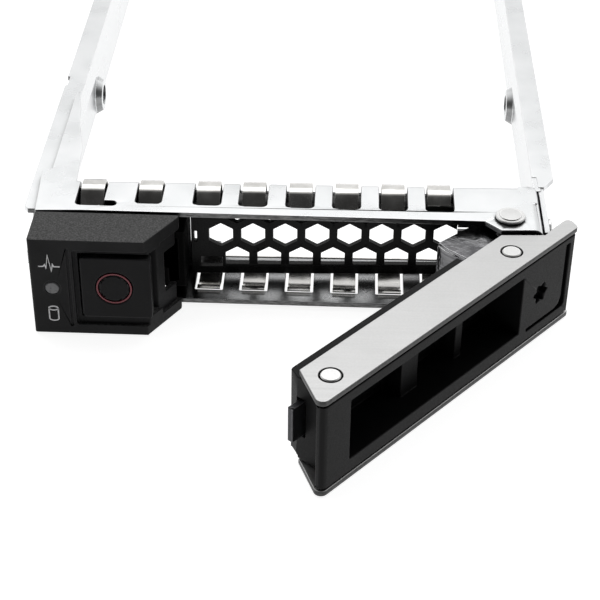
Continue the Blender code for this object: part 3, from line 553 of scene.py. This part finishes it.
def handle_plate(name, low):
    """A plate cut by shearing and tumbled: flat faces, upright sides and an eased edge all round."""
    high = low + HANDLE_PLATE
    mesh = bmesh.new()
    # Height, and how far the outline is drawn in there; 0.002 keeps the sides inside the CAD's box
    levels = ((low, 0.10), (low + 0.03, 0.03), (low + 0.10, 0.002),
              (high - 0.13, 0.002), (high - 0.04, 0.04), (high, 0.13))
    caps = [[], []]
    for loop in plate_loops():
        rings = []
        for level, inset in levels:
            rings.append([mesh.verts.new(handle_place(p.x, p.y, level)) for p in shifted(loop, inset)])
        count = len(loop)
        for lower, upper in zip(rings, rings[1:]):
            for k in range(count):
                after = (k + 1) % count
                mesh.faces.new([lower[k], lower[after], upper[after], upper[k]])
        for cap, ring in zip(caps, (rings[0], rings[-1])):
            cap += [mesh.edges.get((ring[k], ring[(k + 1) % count])) for k in range(count)]
    for cap in caps:
        bmesh.ops.triangle_fill(mesh, use_beauty=True, use_dissolve=False, edges=cap)
    bmesh.ops.recalc_face_normals(mesh, faces=mesh.faces)
    data = bpy.data.meshes.new(name + "_refined")
    mesh.to_mesh(data)
    mesh.free()
    data.materials.append(PLATE)
    for face in data.polygons:
        face.use_smooth = len(face.vertices) == 4
    piece = new_object(name + "_refined", data)
    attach(piece, body_of(name))
    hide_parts(name)


handle_plate("handle_top_plate", HANDLE_TOP - HANDLE_PLATE)
handle_plate("handle_bottom_plate", HANDLE_BOTTOM)


# ---------------------------------------------------------------- printed symbols on the cover

# An ink line's width, its height over the cover and how far it reaches into the cover
INK_WIDTH = 0.19
INK_DEPTH = 0.015
INK_ROOT = 0.01


def ribbon(points, closed):
    """A flat line of ink on the cover's front face: points are (X, Z)."""
    mesh = bmesh.new()
    count = len(points)
    rows = []
    for i, point in enumerate(points):
        here = Vector(point)
        before = Vector(points[(i - 1) % count]) if closed or i > 0 else here
        after = Vector(points[(i + 1) % count]) if closed or i < count - 1 else here
        first = (here - before).normalized() if (here - before).length else (after - here).normalized()
        second = (after - here).normalized() if (after - here).length else first
        along = (first + second).normalized()
        side = Vector((-along.y, along.x))
        stretch = 1.0 / max(side.dot(Vector((-first.y, first.x))), 0.35)
        reach = side * INK_WIDTH / 2 * stretch
        rows.append([here + reach, here - reach])
    layers = []
    for level in (COVER_FRONT - INK_DEPTH, COVER_FRONT + INK_ROOT):
        layers.append([[mesh.verts.new(place(p.x, level, p.y)) for p in row] for row in rows])
    front, back = layers
    spans = [(i, (i + 1) % count) for i in range(count if closed else count - 1)]
    for i, k in spans:
        mesh.faces.new([front[i][0], front[k][0], front[k][1], front[i][1]])
        mesh.faces.new([back[i][1], back[k][1], back[k][0], back[i][0]])
        mesh.faces.new([front[i][0], back[i][0], back[k][0], front[k][0]])
        mesh.faces.new([front[k][1], back[k][1], back[i][1], front[i][1]])
    if not closed:
        for i in (0, count - 1):
            mesh.faces.new([front[i][0], front[i][1], back[i][1], back[i][0]])
    bmesh.ops.recalc_face_normals(mesh, faces=mesh.faces)
    return mesh


def symbol(name, lines):
    """One printed symbol made of several ink lines: each is (points, closed)."""
    whole = bmesh.new()
    for points, closed in lines:
        part = ribbon(points, closed)
        data = bpy.data.meshes.new("line")
        part.to_mesh(data)
        part.free()
        whole.from_mesh(data)
        bpy.data.meshes.remove(data)
    data = bpy.data.meshes.new(name)
    whole.to_mesh(data)
    whole.free()
    data.materials.append(INK)
    piece = new_object(name, data)
    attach(piece, "carrier")


def ellipse(centre, across, high, start=0.0, end=360.0, steps=20):
    """Points round an ellipse, or along the part of one between two angles in degrees."""
    points = []
    for i in range(steps + (end - start < 360)):
        angle = math.radians(start + (end - start) * i / steps)
        points.append((centre[0] + across * math.cos(angle), centre[1] + high * math.sin(angle)))
    return points


def pulse_symbol():
    """A heartbeat line, for activity."""
    line = [(-35.14, 11.2), (-34.45, 11.2), (-34.2, 11.5), (-34.05, 10.95), (-33.72, 13.05),
            (-33.33, 10.45), (-33.1, 11.55), (-32.95, 11.2), (-32.09, 11.2)]
    symbol("pulse_symbol", [(line, False)])


def disk_symbol():
    """A drum, for the disk: a whole ellipse on top, two sides and half an ellipse below."""
    middle, low, high = -33.52, 2.25, 4.05
    across, tall = 0.66, 0.34
    side = [(middle - across, high), (middle - across, low)]
    floor = ellipse((middle, low), across, tall, 180.0, 360.0, 12)
    symbol("disk_symbol", [
        (ellipse((middle, high), across, tall), True),
        (side + floor + [(middle + across, high)], False),
    ])


pulse_symbol()
disk_symbol()


# ---------------------------------------------------------------- status light's collar

def lens_collar():
    """The thin black collar that seats the status light in the cover: its section is (radius, Y)."""
    mesh = bmesh.new()
    section = ((1.24, -7.0), (1.24, -7.47), (1.20, -7.495), (1.05, -7.495), (1.01, -7.46), (1.01, -7.0))
    steps = 48
    rings = []
    for radius, level in section:
        ring = []
        for k in range(steps):
            angle = math.tau * k / steps
            ring.append(mesh.verts.new(place(LENS_CENTRE[0] + radius * math.cos(angle), level,
                                             LENS_CENTRE[1] + radius * math.sin(angle))))
        rings.append(ring)
    for first, second in zip(rings, rings[1:] + rings[:1]):
        for k in range(steps):
            after = (k + 1) % steps
            mesh.faces.new([first[k], first[after], second[after], second[k]])
    bmesh.ops.recalc_face_normals(mesh, faces=mesh.faces)
    data = bpy.data.meshes.new("lens_collar")
    mesh.to_mesh(data)
    mesh.free()
    data.materials.append(COVER)
    data.shade_smooth()
    data.set_sharp_from_angle(angle=math.radians(50))
    piece = new_object("lens_collar", data)
    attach(piece, "carrier")


lens_collar()


# ---------------------------------------------------------------- floor, light and camera

def stage_floor():
    """A broad pale light table: evenly lit from below, so that it stays pale under the carrier."""
    mesh = bmesh.new()
    bmesh.ops.create_grid(mesh, x_segments=8, y_segments=8, size=2.5)
    data = bpy.data.meshes.new("studio_floor")
    mesh.to_mesh(data)
    mesh.free()
    made, tree, shader = new_material("studio_floor_paint", (0.50, 0.50, 0.50), 0.8, 0.0, 0.1)
    mottle = noise(tree, coordinates(tree), 12.0, 3.0, 0.5)
    tree.links.new(ramp(tree, mottle, [(0.3, 0.49), (0.7, 0.51)]), shader.inputs["Base Color"])
    shader.inputs["Emission Color"].default_value = (1.0, 1.0, 1.0, 1.0)
    shader.inputs["Emission Strength"].default_value = 0.88
    data.materials.append(made)
    floor = new_object("studio_floor", data)
    floor.location = (0.0, 0.0, -0.0002)


def area_light(name, location, target, size, power):
    light = bpy.data.lights.new(name, "AREA")
    light.shape = "RECTANGLE"
    light.size, light.size_y = size
    light.energy = power
    made = new_object(name, light)
    made.location = location
    made.rotation_mode = "QUATERNION"
    direction = Vector(target) - Vector(location)
    made.rotation_quaternion = direction.to_track_quat("-Z", "Y")


def studio_light():
    """White walls behind and beside the table, an open dark studio towards the front, one soft box."""
    world = bpy.data.worlds.new("studio_world")
    bpy.context.scene.world = world
    world.use_nodes = True
    tree = world.node_tree
    source = node(tree, "ShaderNodeTexCoord")
    parts = node(tree, "ShaderNodeSeparateXYZ")
    tree.links.new(source.outputs["Generated"], parts.inputs["Vector"])
    depth = node(tree, "ShaderNodeMapRange")
    depth.inputs["From Min"].default_value = -1.0
    depth.inputs["From Max"].default_value = 1.0
    tree.links.new(parts.outputs["Y"], depth.inputs["Value"])
    shade = ramp(tree, depth.outputs["Result"],
                 [(0.0, 0.03), (0.34, 0.05), (0.50, 0.55), (0.62, 0.95), (1.0, 1.0)])
    background = tree.nodes["Background"]
    tree.links.new(shade, background.inputs["Color"])
    background.inputs["Strength"].default_value = 1.0
    area_light("overhead_soft", (0.0, 0.30, 0.55), (0.0, 0.0, 0.0), (0.6, 0.5), 1.2)


def photo_camera():
    """The camera: above the front, turned a little, looking down about 35 degrees."""
    pitch, yaw, roll = 0.61416973, 0.03145265, -0.01178436
    ahead = Vector((-math.sin(yaw) * math.cos(pitch), math.cos(yaw) * math.cos(pitch), -math.sin(pitch)))
    right = Vector((math.cos(yaw), math.sin(yaw), 0.0))
    down = ahead.cross(right)
    across = right * math.cos(roll) + down * math.sin(roll)
    below = down * math.cos(roll) - right * math.sin(roll)
    data = bpy.data.cameras.new("photo_camera")
    data.lens = 96.862
    data.sensor_width = 36.0
    data.clip_start, data.clip_end = 0.01, 10.0
    made = new_object("photo_camera", data)
    turn = Matrix((across, -below, -ahead)).transposed()
    made.matrix_world = Matrix.Translation(place(7.607, -194.099, 138.384)) @ turn.to_4x4()
    bpy.context.scene.camera = made


stage_floor()
studio_light()
photo_camera()
bpy.context.scene.view_settings.view_transform = "Standard"

bpy.context.view_layer.update()
